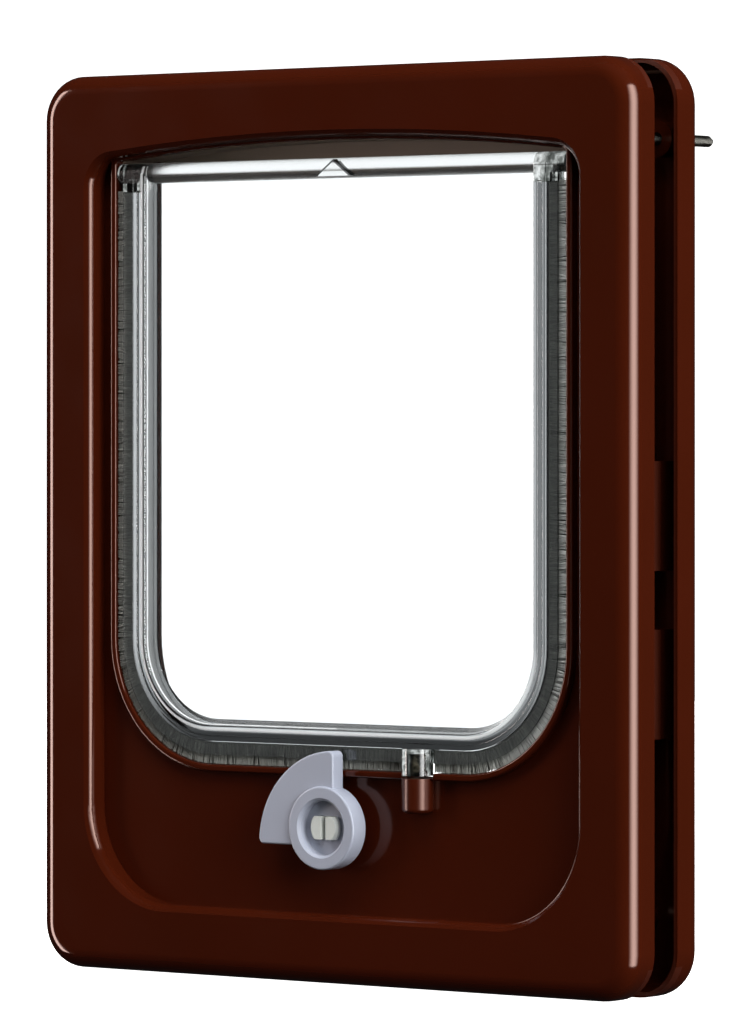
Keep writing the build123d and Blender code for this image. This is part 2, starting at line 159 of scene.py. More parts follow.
def polished_abs_material():
    """Moulded ABS, polished on its show side: deep red-brown with clear, warm reflections that waver a
    little where the moulding sank, softer on the catch's post. It has a fine dull skin on the side that
    faces the door. Above the hinge bar, on the tunnel's ceiling and the front of the lintel behind it, a
    warm grey colour is a painted reflection of the white surroundings."""
    material, tree, coords = new_material("abs_polished_red_brown")
    sink = add_node(
        tree, "ShaderNodeTexNoise", inputs={"Vector": coords, "Scale": per_mm(38), "Detail": 1.5}
    )
    smudge = add_node(
        tree, "ShaderNodeTexNoise", inputs={"Vector": coords, "Scale": per_mm(14), "Detail": 4.0}
    )
    # The real skin's grain, about 0.1 mm, is too fine to show, so it is drawn coarser
    grain = add_node(
        tree, "ShaderNodeTexNoise", inputs={"Vector": coords, "Scale": per_mm(0.6), "Detail": 2.0}
    )
    place = add_node(tree, "ShaderNodeSeparateXYZ", inputs={0: coords}).outputs
    # Boxes: the middle and half of their width, their bottom and top, and their front and back
    boxes = (
        # The side that faces the door: inside the walls, from one frame's plate to the other's
        (
            0.0,
            FRAME_HALF_WIDTH - HALF_SHELL,
            HALF_SHELL,
            FRAME_HEIGHT - HALF_SHELL,
            FRONT_PLATE_BACK - HALF_SHELL,
            REAR_PLATE_FRONT + HALF_SHELL,
        ),
        # The catch's post, in front of the recess floor
        (CATCH_ACROSS, CATCH_HALF_WIDTH, CATCH_BOTTOM, CATCH_TOP, 0.0, RECESS_FLOOR - RECESS_MARGIN),
        # The tunnel's ceiling and the front of the lintel, behind the recess floor, which get a painted
        # reflection
        (0.0, LINTEL_HALF_WIDTH, LINTEL_BOTTOM, LINTEL_TOP, RECESS_FLOOR, LINTEL_BACK),
    )
    masks = []
    for middle, half_width, bottom, top, front, back in boxes:
        within = 1.0
        for axis, centre, half_span in (
            ("X", middle * MM, half_width),
            ("Y", at(0, (front + back) / 2, 0).y, (back - front) / 2),
            ("Z", (bottom + top) / 2 * MM, (top - bottom) / 2),
        ):
            inside = add_node(
                tree,
                "ShaderNodeMath",
                {"operation": "COMPARE"},
                {0: place[axis], 1: centre, 2: half_span * MM},
            )
            within = add_node(
                tree, "ShaderNodeMath", {"operation": "MULTIPLY"}, {0: inside.outputs[0], 1: within}
            ).outputs[0]
        masks.append(within)
    dull, post, lintel = masks
    gloss = add_node(
        tree,
        "ShaderNodeMapRange",
        inputs={
            "Value": smudge.outputs["Fac"],
            "From Min": 0.3,
            "From Max": 0.7,
            "To Min": 0.09,
            "To Max": 0.13,
        },
    )
    show_side = add_node(
        tree, "ShaderNodeMix", inputs={0: post, 2: gloss.outputs[0], 3: POST_ROUGHNESS}
    )
    rough = add_node(
        tree, "ShaderNodeMix", inputs={0: dull, 2: show_side.outputs[0], 3: DOOR_SIDE_ROUGHNESS}
    )
    moulded = add_node(
        tree,
        "ShaderNodeMix",
        {"data_type": "RGBA"},
        {0: sink.outputs["Fac"], 6: hex_colour("#361004"), 7: hex_colour("#3c1206")},
    )
    # Painted reflection: a warm grey colour on the tunnel's ceiling and the lintel's front stands in for the
    # white surroundings reflected there
    colour = add_node(
        tree,
        "ShaderNodeMix",
        {"data_type": "RGBA"},
        {0: lintel, 6: moulded.outputs[2], 7: hex_colour("#7a6c5e")},
    )
    waver = add_node(
        tree,
        "ShaderNodeBump",
        inputs={"Strength": 0.25, "Distance": 0.25 * MM, "Height": sink.outputs["Fac"]},
    )
    skin = add_node(
        tree,
        "ShaderNodeBump",
        inputs={
            "Strength": dull,
            "Distance": 0.02 * MM,
            "Height": grain.outputs["Fac"],
            "Normal": waver.outputs["Normal"],
        },
    )
    shader = add_node(
        tree,
        "ShaderNodeBsdfPrincipled",
        inputs={
            "Base Color": colour.outputs[2],
            "Roughness": rough.outputs[0],
            "IOR": 1.53,
            "Specular Tint": hex_colour("#ffd7c9"),
            "Normal": skin.outputs["Normal"],
        },
    )
    add_node(tree, "ShaderNodeOutputMaterial", inputs={"Surface": shader.outputs["BSDF"]})
    return material


def clear_flap_material():
    """Clear moulded polycarbonate: a nearly colourless pane with slow flow waves, and ribs round it with
    painted grey lines of light and shade for the light caught in their thickness. A painted white highlight
    lies on their inner ridge on the left and below, and painted dark lines on the right and below. The
    hinge bar is hazier. In the catch's thick pocket and the ends of the hinge, painted dark patches and
    glints stand in for light breaking up."""
    material, tree, coords = new_material("polycarbonate_clear_moulded")
    flow = add_node(
        tree, "ShaderNodeTexNoise", inputs={"Vector": coords, "Scale": per_mm(45), "Detail": 1.0}
    )
    scuff = add_node(
        tree, "ShaderNodeTexNoise", inputs={"Vector": coords, "Scale": per_mm(9), "Detail": 5.0}
    )
    # Distance outside the pane's outline, which has straight sides and rounded feet
    place = add_node(tree, "ShaderNodeSeparateXYZ", inputs={0: coords}).outputs
    corner = at(PANE_HALF_WIDTH - PANE_FOOT_RADIUS, 0, PANE_BOTTOM + PANE_FOOT_RADIUS)
    side = add_node(tree, "ShaderNodeMath", {"operation": "ABSOLUTE"}, {0: place["X"]}).outputs[0]
    beyond_side = add_node(tree, "ShaderNodeMath", {"operation": "SUBTRACT"}, {0: side, 1: corner.x})
    below_foot = add_node(tree, "ShaderNodeMath", {"operation": "SUBTRACT"}, {0: corner.z, 1: place["Z"]})
    beyond, below = [
        add_node(tree, "ShaderNodeMath", {"operation": "MAXIMUM"}, {0: part.outputs[0], 1: 0.0}).outputs[0]
        for part in (beyond_side, below_foot)
    ]
    offset = add_node(tree, "ShaderNodeCombineXYZ", inputs={"X": beyond, "Y": below})
    reach = add_node(tree, "ShaderNodeVectorMath", {"operation": "LENGTH"}, {0: offset.outputs[0]})
    band = add_node(
        tree,
        "ShaderNodeMath",
        {"operation": "COMPARE"},
        {
            0: reach.outputs["Value"],
            1: (PANE_FOOT_RADIUS + RIB_WIDTH / 2) * MM,
            2: RIB_WIDTH / 2 * MM,
        },
    )
    rib = band.outputs[0]
    across_rib = add_node(
        tree,
        "ShaderNodeMapRange",
        inputs={
            "Value": reach.outputs["Value"],
            "From Min": PANE_FOOT_RADIUS * MM,
            "From Max": (PANE_FOOT_RADIUS + RIB_WIDTH) * MM,
        },
    )
    right_lines, foot_lines = [
        add_node(tree, "ShaderNodeValToRGB", inputs={"Fac": across_rib.outputs[0]}) for _ in range(2)
    ]
    for ramp, lines in ((right_lines, RIGHT_RIB_PAINTED_LINES), (foot_lines, FOOT_RIB_PAINTED_LINES)):
        stops = ramp.color_ramp.elements
        stops.remove(stops[1])
        for share, shade in lines:
            stop = stops[0] if share == 0 else stops.new(share)
            stop.color = hex_colour(shade)
    on_left = add_node(tree, "ShaderNodeMath", {"operation": "LESS_THAN"}, {0: place["X"], 1: 0.0})
    # Painted light: the left ribs are one pale grey, and the right ones and the foot take painted lines of
    # light and shade
    upright = add_node(
        tree,
        "ShaderNodeMix",
        {"data_type": "RGBA"},
        {0: on_left.outputs[0], 6: right_lines.outputs["Color"], 7: hex_colour("#bcc0c2")},
    )
    downward = add_node(
        tree, "ShaderNodeMath", {"operation": "DIVIDE"}, {0: below, 1: reach.outputs["Value"]}
    )
    painted_rib_light = add_node(
        tree,
        "ShaderNodeMix",
        {"data_type": "RGBA"},
        {0: downward.outputs[0], 6: upright.outputs[2], 7: foot_lines.outputs["Color"]},
    )
    ribbed = add_node(
        tree,
        "ShaderNodeMix",
        {"data_type": "RGBA"},
        {0: rib, 6: hex_colour("#f6f9fa"), 7: painted_rib_light.outputs[2]},
    )
    beside_pane = add_node(
        tree, "ShaderNodeMath", {"operation": "GREATER_THAN"}, {0: side, 1: PANE_HALF_WIDTH * MM}
    )
    above_brush, on_bar = [
        add_node(tree, "ShaderNodeMath", {"operation": "GREATER_THAN"}, {0: place["Z"], 1: height * MM})
        for height in (HINGE_FOOT, HINGE_BAR_BOTTOM)
    ]
    in_catch = add_node(
        tree,
        "ShaderNodeMath",
        {"operation": "COMPARE"},
        {0: place["X"], 1: CATCH_ACROSS * MM, 2: CATCH_HALF_WIDTH * MM},
    )
    below_rib = add_node(
        tree, "ShaderNodeMath", {"operation": "LESS_THAN"}, {0: place["Z"], 1: CATCH_TOP * MM}
    )
    hinge_end, pocket = [
        add_node(
            tree, "ShaderNodeMath", {"operation": "MULTIPLY"}, {0: one.outputs[0], 1: other.outputs[0]}
        )
        for one, other in ((beside_pane, above_brush), (in_catch, below_rib))
    ]
    thick = add_node(
        tree, "ShaderNodeMath", {"operation": "MAXIMUM"}, {0: hinge_end.outputs[0], 1: pocket.outputs[0]}
    )
    # Painted glints and dark patches in the hinge ends and the catch's pocket, for light breaking up in the
    # thick plastic
    facets = add_node(
        tree, "ShaderNodeTexNoise", inputs={"Vector": coords, "Scale": per_mm(2.2), "Detail": 2.0}
    )
    glints = add_node(
        tree,
        "ShaderNodeMapRange",
        inputs={"Value": facets.outputs["Fac"], "From Min": 0.42, "From Max": 0.62},
    )
    painted_glints = add_node(
        tree,
        "ShaderNodeMix",
        {"data_type": "RGBA"},
        {0: glints.outputs[0], 6: hex_colour("#434744"), 7: hex_colour("#d4d8d6")},
    )
    with_painted_glints = add_node(
        tree,
        "ShaderNodeMix",
        {"data_type": "RGBA"},
        {0: thick.outputs[0], 6: ribbed.outputs[2], 7: painted_glints.outputs[2]},
    )
    # Painted highlight: white lines along the ridge on the left and below, which also hide some of the clear
    # plastic
    on_crown, on_slope_line = [
        add_node(
            tree,
            "ShaderNodeMath",
            {"operation": "COMPARE"},
            {0: reach.outputs["Value"], 1: (PANE_FOOT_RADIUS + middle) * MM, 2: half_width * MM},
        )
        for middle, half_width in (RIB_CROWN, RIB_SLOPE_LINE)
    ]
    at_front = add_node(
        tree, "ShaderNodeMath", {"operation": "LESS_THAN"}, {0: place["Y"], 1: at(0, RIB_ROUND_BACK, 0).y}
    )
    left_or_below = add_node(
        tree, "ShaderNodeMath", {"operation": "MAXIMUM"}, {0: on_left.outputs[0], 1: downward.outputs[0]}
    )
    crown_painted_highlight, slope_painted_highlight = [
        add_node(
            tree, "ShaderNodeMath", {"operation": "MULTIPLY"}, {0: line.outputs[0], 1: there.outputs[0]}
        )
        for line, there in ((on_crown, left_or_below), (on_slope_line, on_left))
    ]
    either = add_node(
        tree,
        "ShaderNodeMath",
        {"operation": "MAXIMUM"},
        {0: crown_painted_highlight.outputs[0], 1: slope_painted_highlight.outputs[0]},
    )
    crown = add_node(
        tree, "ShaderNodeMath", {"operation": "MULTIPLY"}, {0: either.outputs[0], 1: at_front.outputs[0]}
    )
    # Painted shade: the two upper edges of the embossed arrow on the hinge bar are painted dark, where light
    # bends away at them
    arrow_slope = ARROW_HALF_HEIGHT * 2 / ARROW_HALF_WIDTH
    arrow_tip = HINGE_HEIGHT + ARROW_HALF_HEIGHT
    roof = add_node(
        tree, "ShaderNodeMath", {"operation": "MULTIPLY_ADD"}, {0: side, 1: arrow_slope, 2: place["Z"]}
    )
    on_roof, beside_arrow = [
        add_node(tree, "ShaderNodeMath", {"operation": "COMPARE"}, {0: value, 1: middle * MM, 2: span * MM})
        for value, middle, span in (
            (roof.outputs[0], arrow_tip, ARROW_EDGE),
            (place["Z"], HINGE_HEIGHT, ARROW_HALF_HEIGHT),
        )
    ]
    arrow_edge = at_front.outputs[0]
    for mask in (on_roof, beside_arrow):
        arrow_edge = add_node(
            tree, "ShaderNodeMath", {"operation": "MULTIPLY"}, {0: arrow_edge, 1: mask.outputs[0]}
        ).outputs[0]
    outlined = add_node(
        tree,
        "ShaderNodeMix",
        {"data_type": "RGBA"},
        {0: arrow_edge, 6: with_painted_glints.outputs[2], 7: hex_colour("#2c2e2f")},
    )
    colour = add_node(
        tree,
        "ShaderNodeMix",
        {"data_type": "RGBA"},
        {0: crown.outputs[0], 6: outlined.outputs[2], 7: hex_colour("#eceff1")},
    )
    clear = add_node(
        tree,
        "ShaderNodeMath",
        {"operation": "MULTIPLY_ADD"},
        {0: crown.outputs[0], 1: -CROWN_COVER, 2: 1.0},
    )
    scuffs = add_node(
        tree,
        "ShaderNodeMapRange",
        inputs={
            "Value": scuff.outputs["Fac"],
            "From Min": 0.4,
            "From Max": 0.75,
            "To Min": 0.01,
            "To Max": 0.05,
        },
    )
    soft_rib, soft_hinge = [
        add_node(tree, "ShaderNodeMath", {"operation": "MULTIPLY"}, {0: part, 1: added})
        for part, added in ((rib, RIB_HAZE), (on_bar.outputs[0], HINGE_HAZE))
    ]
    soft = add_node(
        tree, "ShaderNodeMath", {"operation": "MAXIMUM"}, {0: soft_rib.outputs[0], 1: soft_hinge.outputs[0]}
    )
    rough = add_node(
        tree, "ShaderNodeMath", {"operation": "ADD"}, {0: scuffs.outputs[0], 1: soft.outputs[0]}
    )
    waves = add_node(
        tree,
        "ShaderNodeBump",
        inputs={"Strength": 0.15, "Distance": 0.2 * MM, "Height": flow.outputs["Fac"]},
    )
    shader = add_node(
        tree,
        "ShaderNodeBsdfPrincipled",
        inputs={
            "Base Color": colour.outputs[2],
            "Roughness": rough.outputs[0],
            "IOR": 1.58,
            "Transmission Weight": clear.outputs[0],
            "Normal": waves.outputs["Normal"],
        },
    )
    haze = add_node(
        tree,
        "ShaderNodeVolumeAbsorption",
        inputs={"Color": hex_colour("#b4babc"), "Density": 60.0},
    )
    add_node(
        tree,
        "ShaderNodeOutputMaterial",
        inputs={"Surface": shader.outputs["BSDF"], "Volume": haze.outputs[0]},
    )
    return material


def pile_material():
    """Polypropylene brush pile: grey-green, dull, each bristle a little lighter or darker than the next and
    paler towards its tip, with a painted highlight that makes the tips paler still on the right."""
    material, tree, coords = new_material("polypropylene_brush_pile")
    tone = add_node(tree, "ShaderNodeAttribute", {"attribute_name": "tone"}).outputs["Fac"]
    clumps = add_node(
        tree, "ShaderNodeTexNoise", inputs={"Vector": coords, "Scale": per_mm(5), "Detail": 2.0}
    )
    shade = add_node(
        tree, "ShaderNodeMath", {"operation": "MULTIPLY"}, {0: tone, 1: clumps.outputs["Fac"]}
    )
    bristle = add_node(
        tree,
        "ShaderNodeMix",
        {"data_type": "RGBA"},
        {0: shade.outputs[0], 6: hex_colour("#555751"), 7: hex_colour("#90938a")},
    )
    along = add_node(tree, "ShaderNodeAttribute", {"attribute_name": "along"}).outputs["Fac"]
    paler_towards_tip = add_node(
        tree, "ShaderNodeMapRange", inputs={"Value": along, "From Min": 0.45, "From Max": 0.75}
    )
    place = add_node(tree, "ShaderNodeSeparateXYZ", inputs={0: coords}).outputs
    # Painted highlight: the bristle tips are paler still towards the right
    right_painted_highlight = add_node(
        tree,
        "ShaderNodeMapRange",
        inputs={"Value": place["X"], "From Min": PALE_TIPS_START * MM, "From Max": FLAP_HALF_WIDTH * MM},
    )
    tip = add_node(
        tree,
        "ShaderNodeMix",
        {"data_type": "RGBA"},
        {0: right_painted_highlight.outputs[0], 6: hex_colour("#8d8f89"), 7: hex_colour("#c6c9c6")},
    )
    colour = add_node(
        tree,
        "ShaderNodeMix",
        {"data_type": "RGBA"},
        {0: paler_towards_tip.outputs[0], 6: bristle.outputs[2], 7: tip.outputs[2]},
    )
    shader = add_node(
        tree,
        "ShaderNodeBsdfPrincipled",
        inputs={
            "Base Color": colour.outputs[2],
            "Roughness": 0.7,
            "IOR": 1.49,
            "Sheen Weight": 0.1,
            "Sheen Roughness": 0.5,
        },
    )
    add_node(tree, "ShaderNodeOutputMaterial", inputs={"Surface": shader.outputs["BSDF"]})
    return material


def satin_abs_material():
    """Moulded ABS in pale blue-grey with a satin skin: broad soft highlights and a fine eroded grain."""
    material, tree, coords = new_material("abs_satin_blue_grey")
    # The real skin's grain, about 0.1 mm, is too fine to show, so it is drawn coarser
    grain = add_node(
        tree, "ShaderNodeTexNoise", inputs={"Vector": coords, "Scale": per_mm(0.5), "Detail": 2.0}
    )
    cloud = add_node(
        tree, "ShaderNodeTexNoise", inputs={"Vector": coords, "Scale": per_mm(22), "Detail": 1.0}
    )
    rough = add_node(
        tree,
        "ShaderNodeMapRange",
        inputs={
            "Value": cloud.outputs["Fac"],
            "From Min": 0.3,
            "From Max": 0.7,
            "To Min": 0.27,
            "To Max": 0.32,
        },
    )
    colour = add_node(
        tree,
        "ShaderNodeMix",
        {"data_type": "RGBA"},
        {0: cloud.outputs["Fac"], 6: hex_colour("#9ba0ae"), 7: hex_colour("#a0a5b3")},
    )
    skin = add_node(
        tree,
        "ShaderNodeBump",
        inputs={"Strength": 0.3, "Distance": 0.01 * MM, "Height": grain.outputs["Fac"]},
    )
    shader = add_node(
        tree,
        "ShaderNodeBsdfPrincipled",
        inputs={
            "Base Color": colour.outputs[2],
            "Roughness": rough.outputs[0],
            "IOR": 1.53,
            "Normal": skin.outputs["Normal"],
        },
    )
    add_node(tree, "ShaderNodeOutputMaterial", inputs={"Surface": shader.outputs["BSDF"]})
    return material


def acetal_material():
    """Natural acetal, moulded without pigment: a milky pale grey with a waxy gleam."""
    material, tree, coords = new_material("acetal_natural")
    cloud = add_node(
        tree, "ShaderNodeTexNoise", inputs={"Vector": coords, "Scale": per_mm(6), "Detail": 1.0}
    )
    colour = add_node(
        tree,
        "ShaderNodeMix",
        {"data_type": "RGBA"},
        {0: cloud.outputs["Fac"], 6: hex_colour("#c2c7c2"), 7: hex_colour("#ced2cd")},
    )
    shader = add_node(
        tree,
        "ShaderNodeBsdfPrincipled",
        inputs={"Base Color": colour.outputs[2], "Roughness": 0.3, "IOR": 1.48},
    )
    add_node(tree, "ShaderNodeOutputMaterial", inputs={"Surface": shader.outputs["BSDF"]})
    return material


def magnet_material():
    """Bonded ferrite with a tan lacquer: a dull pressed body with fine dark specks."""
    material, tree, coords = new_material("ferrite_tan_lacquer")
    specks = add_node(
        tree, "ShaderNodeTexNoise", inputs={"Vector": coords, "Scale": per_mm(0.7), "Detail": 3.0}
    )
    colour = add_node(
        tree,
        "ShaderNodeMix",
        {"data_type": "RGBA"},
        {0: specks.outputs["Fac"], 6: hex_colour("#9c8562"), 7: hex_colour("#d8c8a8")},
    )
    shader = add_node(
        tree,
        "ShaderNodeBsdfPrincipled",
        inputs={"Base Color": colour.outputs[2], "Roughness": 0.45, "IOR": 1.5},
    )
    add_node(tree, "ShaderNodeOutputMaterial", inputs={"Surface": shader.outputs["BSDF"]})
    return material


def zinc_steel_material():
    """Zinc-plated steel: a soft grey metal gleam, cloudy where the plating is uneven."""
    material, tree, coords = new_material("steel_zinc_plated")
    cloud = add_node(
        tree, "ShaderNodeTexNoise", inputs={"Vector": coords, "Scale": per_mm(3), "Detail": 4.0}
    )
    rough = add_node(
        tree,
        "ShaderNodeMapRange",
        inputs={
            "Value": cloud.outputs["Fac"],
            "From Min": 0.3,
            "From Max": 0.7,
            "To Min": 0.25,
            "To Max": 0.45,
        },
    )
    colour = add_node(
        tree,
        "ShaderNodeMix",
        {"data_type": "RGBA"},
        {0: cloud.outputs["Fac"], 6: hex_colour("#504f4b"), 7: hex_colour("#6c6b66")},
    )
    shader = add_node(
        tree,
        "ShaderNodeBsdfPrincipled",
        inputs={"Base Color": colour.outputs[2], "Metallic": 1.0, "Roughness": rough.outputs[0]},
    )
    add_node(tree, "ShaderNodeOutputMaterial", inputs={"Surface": shader.outputs["BSDF"]})
    return material


polished_abs = polished_abs_material()
clear_flap = clear_flap_material()
pile = pile_material()
satin_abs = satin_abs_material()
acetal = acetal_material()
ferrite = magnet_material()
zinc_steel = zinc_steel_material()

node_finishes = {
    "front_frame": polished_abs,
    "rear_frame": polished_abs,
    "flap": clear_flap,
    "lock_knob": satin_abs,
    "lock_spindle": acetal,
    "flap_magnet": ferrite,
    "post_magnet": ferrite,
    "nuts": zinc_steel,
    "screws": zinc_steel,
    "pile_strip_long": pile,
    "pile_strip_short": pile,
}
for node_name, finish in node_finishes.items():
    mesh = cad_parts[node_name].data
    mesh.materials.clear()
    mesh.materials.append(finish)


# Geometry Nodes


def new_tree(name, sizes):
    """Geometry tree with a geometry in and out and named number inputs. Returns it and what it is given."""
    tree = bpy.data.node_groups.new(name, "GeometryNodeTree")
    tree.interface.new_socket("Geometry", in_out="INPUT", socket_type="NodeSocketGeometry")
    for size in sizes:
        tree.interface.new_socket(size, in_out="INPUT", socket_type="NodeSocketFloat")
    tree.interface.new_socket("Geometry", in_out="OUTPUT", socket_type="NodeSocketGeometry")
    return tree, add_node(tree, "NodeGroupInput").outputs


def grow(name, base, tree, sizes, body, replaced):
    """Runs a tree over a base mesh, keeps the result as a plain mesh and hands it to the frame."""
    seed_piece = link_mesh(name + "_seed", base)
    modifier = seed_piece.modifiers.new(tree.name, "NODES")
    modifier.node_group = tree
    for item in tree.interface.items_tree:
        if item.in_out == "INPUT" and item.name in sizes:
            modifier[item.identifier] = sizes[item.name]
    graph = bpy.context.evaluated_depsgraph_get()
    mesh = bpy.data.meshes.new_from_object(seed_piece.evaluated_get(graph))
    seed_piece.modifiers.clear()
    bpy.data.objects.remove(seed_piece)
    piece = link_mesh(name, mesh)
    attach(piece, body)
    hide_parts(*replaced)


# Brush strips: bristles along the flap's edge, in a bound backing that sits in the flap's slot

BRUSH_DEPTH = 5.7
BACKING_INSET = 2.95
POCKET_LEFT = 22.6
POCKET_RIGHT = 32.1
FOOT_STEPS = 18
BRISTLE_TIP_SHARE = 0.8  # of the radius at the bristle's root


def brush_line():
    """Points of the backing's line, from the top left round the bottom to the top right."""
    half_width = FLAP_HALF_WIDTH - BACKING_INSET
    bottom = FLAP_BOTTOM + BACKING_INSET
    radius = FLAP_FOOT_RADIUS - BACKING_INSET
    turn = [math.pi / 2 * step / FOOT_STEPS for step in range(FOOT_STEPS + 1)]
    left = [(-half_width, HINGE_FOOT)]
    left += [
        (-half_width + radius - radius * math.cos(angle), bottom + radius - radius * math.sin(angle))
        for angle in turn
    ]
    return left + [(-across, height) for across, height in reversed(left)]


def line_mesh(name, points):
    mesh = bpy.data.meshes.new(name)
    corners = [at(across, BRUSH_DEPTH, height) for across, height in points]
    mesh.from_pydata(corners, [(i, i + 1) for i in range(len(points) - 1)], [])
    return mesh


def brush_tree():
    """Bristles that stand outwards from a line and lean in clumps, with random length, depth and tone,
    round a thin fin on a square backing."""
    sizes = (
        "Spacing",
        "Bristle Length",
        "Bristle Radius",
        "Half Depth",
        "Side Lean",
        "Depth Lean",
        "Clump Lean",
        "Clump Size",
        "Backing",
        "Fin Reach",
        "Fin Thickness",
    )
    tree, given = new_tree("brush_pile", sizes)
    line = add_node(tree, "GeometryNodeMeshToCurve", inputs={"Mesh": given["Geometry"]}).outputs[0]
    even = add_node(
        tree,
        "GeometryNodeResampleCurve",
        {"mode": "LENGTH"},
        {"Curve": line, "Length": given["Spacing"]},
    )
    roots = add_node(tree, "GeometryNodeCurveToPoints", {"mode": "EVALUATED"}, {"Curve": even.outputs[0]})
    outward = add_node(
        tree,
        "ShaderNodeVectorMath",
        {"operation": "CROSS_PRODUCT"},
        {0: (0.0, 1.0, 0.0), 1: roots.outputs["Tangent"]},
    )
    straight = add_node(
        tree, "FunctionNodeAlignRotationToVector", {"axis": "Z"}, {"Vector": outward.outputs[0]}
    )
    swing = [
        add_node(
            tree,
            "FunctionNodeRandomValue",
            {"data_type": "FLOAT"},
            {"Min": -1.0, "Max": 1.0, "Seed": seed},
        ).outputs[1]
        for seed in (11, 12, 13)
    ]
    scaled = [
        add_node(tree, "ShaderNodeMath", {"operation": "MULTIPLY"}, {0: value, 1: given[size]}).outputs[0]
        for value, size in zip(swing, ("Side Lean", "Depth Lean", "Half Depth"))
    ]
    clump_scale = add_node(
        tree, "ShaderNodeMath", {"operation": "DIVIDE"}, {0: 1.0, 1: given["Clump Size"]}
    )
    clump = add_node(
        tree, "ShaderNodeTexNoise", inputs={"Scale": clump_scale.outputs[0], "Detail": 1.0}
    )
    centred = add_node(tree, "ShaderNodeMath", {"operation": "SUBTRACT"}, {0: clump.outputs["Fac"], 1: 0.5})
    side_angle = add_node(
        tree,
        "ShaderNodeMath",
        {"operation": "MULTIPLY_ADD"},
        {0: centred.outputs[0], 1: given["Clump Lean"], 2: scaled[0]},
    )
    side_lean = add_node(
        tree,
        "FunctionNodeAxisAngleToRotation",
        inputs={"Axis": (0.0, 1.0, 0.0), "Angle": side_angle.outputs[0]},
    )
    depth_axis = add_node(
        tree, "ShaderNodeVectorMath", {"operation": "NORMALIZE"}, {0: roots.outputs["Tangent"]}
    )
    depth_lean = add_node(
        tree,
        "FunctionNodeAxisAngleToRotation",
        inputs={"Axis": depth_axis.outputs[0], "Angle": scaled[1]},
    )
    leaning = straight.outputs[0]
    for lean in (side_lean, depth_lean):
        leaning = add_node(
            tree,
            "FunctionNodeRotateRotation",
            {"rotation_space": "GLOBAL"},
            {"Rotation": leaning, "Rotate By": lean.outputs[0]},
        ).outputs[0]
    shift = add_node(tree, "ShaderNodeCombineXYZ", inputs={"Y": scaled[2]})
    spread = add_node(
        tree,
        "GeometryNodeSetPosition",
        inputs={"Geometry": roots.outputs["Points"], "Offset": shift.outputs[0]},
    )
    tip = add_node(
        tree,
        "ShaderNodeMath",
        {"operation": "MULTIPLY"},
        {0: given["Bristle Radius"], 1: BRISTLE_TIP_SHARE},
    )
    bristle = add_node(
        tree,
        "GeometryNodeMeshCone",
        inputs={
            "Vertices": 5,
            "Side Segments": 1,
            "Radius Top": tip.outputs[0],
            "Radius Bottom": given["Bristle Radius"],
            "Depth": given["Bristle Length"],
        },
    )
    spot = add_node(tree, "GeometryNodeInputPosition").outputs[0]
    height = add_node(tree, "ShaderNodeSeparateXYZ", inputs={0: spot}).outputs["Z"]
    share = add_node(
        tree, "ShaderNodeMath", {"operation": "DIVIDE"}, {0: height, 1: given["Bristle Length"]}
    )
    marked = add_node(
        tree,
        "GeometryNodeStoreNamedAttribute",
        {"data_type": "FLOAT", "domain": "POINT"},
        {"Geometry": bristle.outputs["Mesh"], "Name": "along", "Value": share.outputs[0]},
    )
    reach = add_node(
        tree,
        "FunctionNodeRandomValue",
        {"data_type": "FLOAT"},
        {"Min": 0.96, "Max": 1.0, "Seed": 14},
    )
    stretch = add_node(
        tree, "ShaderNodeCombineXYZ", inputs={"X": 1.0, "Y": 1.0, "Z": reach.outputs[1]}
    )
    bristles = add_node(
        tree,
        "GeometryNodeInstanceOnPoints",
        inputs={
            "Points": spread.outputs[0],
            "Instance": marked.outputs[0],
            "Rotation": leaning,
            "Scale": stretch.outputs[0],
        },
    )
    tone = add_node(
        tree,
        "FunctionNodeRandomValue",
        {"data_type": "FLOAT"},
        {"Min": 0.0, "Max": 1.0, "Seed": 15},
    )
    toned = add_node(
        tree,
        "GeometryNodeStoreNamedAttribute",
        {"data_type": "FLOAT", "domain": "INSTANCE"},
        {"Geometry": bristles.outputs[0], "Name": "tone", "Value": tone.outputs[1]},
    )
    along = add_node(tree, "GeometryNodeInputTangent").outputs[0]
    sideways = add_node(
        tree, "ShaderNodeVectorMath", {"operation": "CROSS_PRODUCT"}, {0: (0.0, 1.0, 0.0), 1: along}
    )
    rail = add_node(
        tree,
        "GeometryNodeSetCurveNormal",
        {"mode": "FREE"},
        {"Curve": line, "Normal": sideways.outputs[0]},
    )
    square = add_node(
        tree,
        "GeometryNodeCurvePrimitiveQuadrilateral",
        inputs={"Width": given["Backing"], "Height": given["Backing"]},
    )
    thin = add_node(
        tree,
        "GeometryNodeCurvePrimitiveQuadrilateral",
        inputs={"Width": given["Fin Reach"], "Height": given["Fin Thickness"]},
    )
    half_fin = add_node(tree, "ShaderNodeMath", {"operation": "MULTIPLY"}, {0: given["Fin Reach"], 1: 0.5})
    fin_place = add_node(tree, "ShaderNodeCombineXYZ", inputs={"X": half_fin.outputs[0]})
    fin_profile = add_node(
        tree,
        "GeometryNodeTransform",
        inputs={"Geometry": thin.outputs[0], "Translation": fin_place.outputs[0]},
    )
    backing, fin = [
        add_node(
            tree,
            "GeometryNodeCurveToMesh",
            inputs={"Curve": rail.outputs[0], "Profile Curve": profile.outputs[0], "Fill Caps": True},
        )
        for profile in (square, fin_profile)
    ]
    joined = add_node(tree, "GeometryNodeJoinGeometry")
    for part in (toned, backing, fin):
        tree.links.new(part.outputs[0], joined.inputs[0])
    whole = add_node(tree, "GeometryNodeRealizeInstances", inputs={0: joined.outputs[0]})
    dressed = add_node(
        tree, "GeometryNodeSetMaterial", inputs={"Geometry": whole.outputs[0], "Material": pile}
    )
    add_node(tree, "NodeGroupOutput", inputs={"Geometry": dressed.outputs[0]})
    return tree


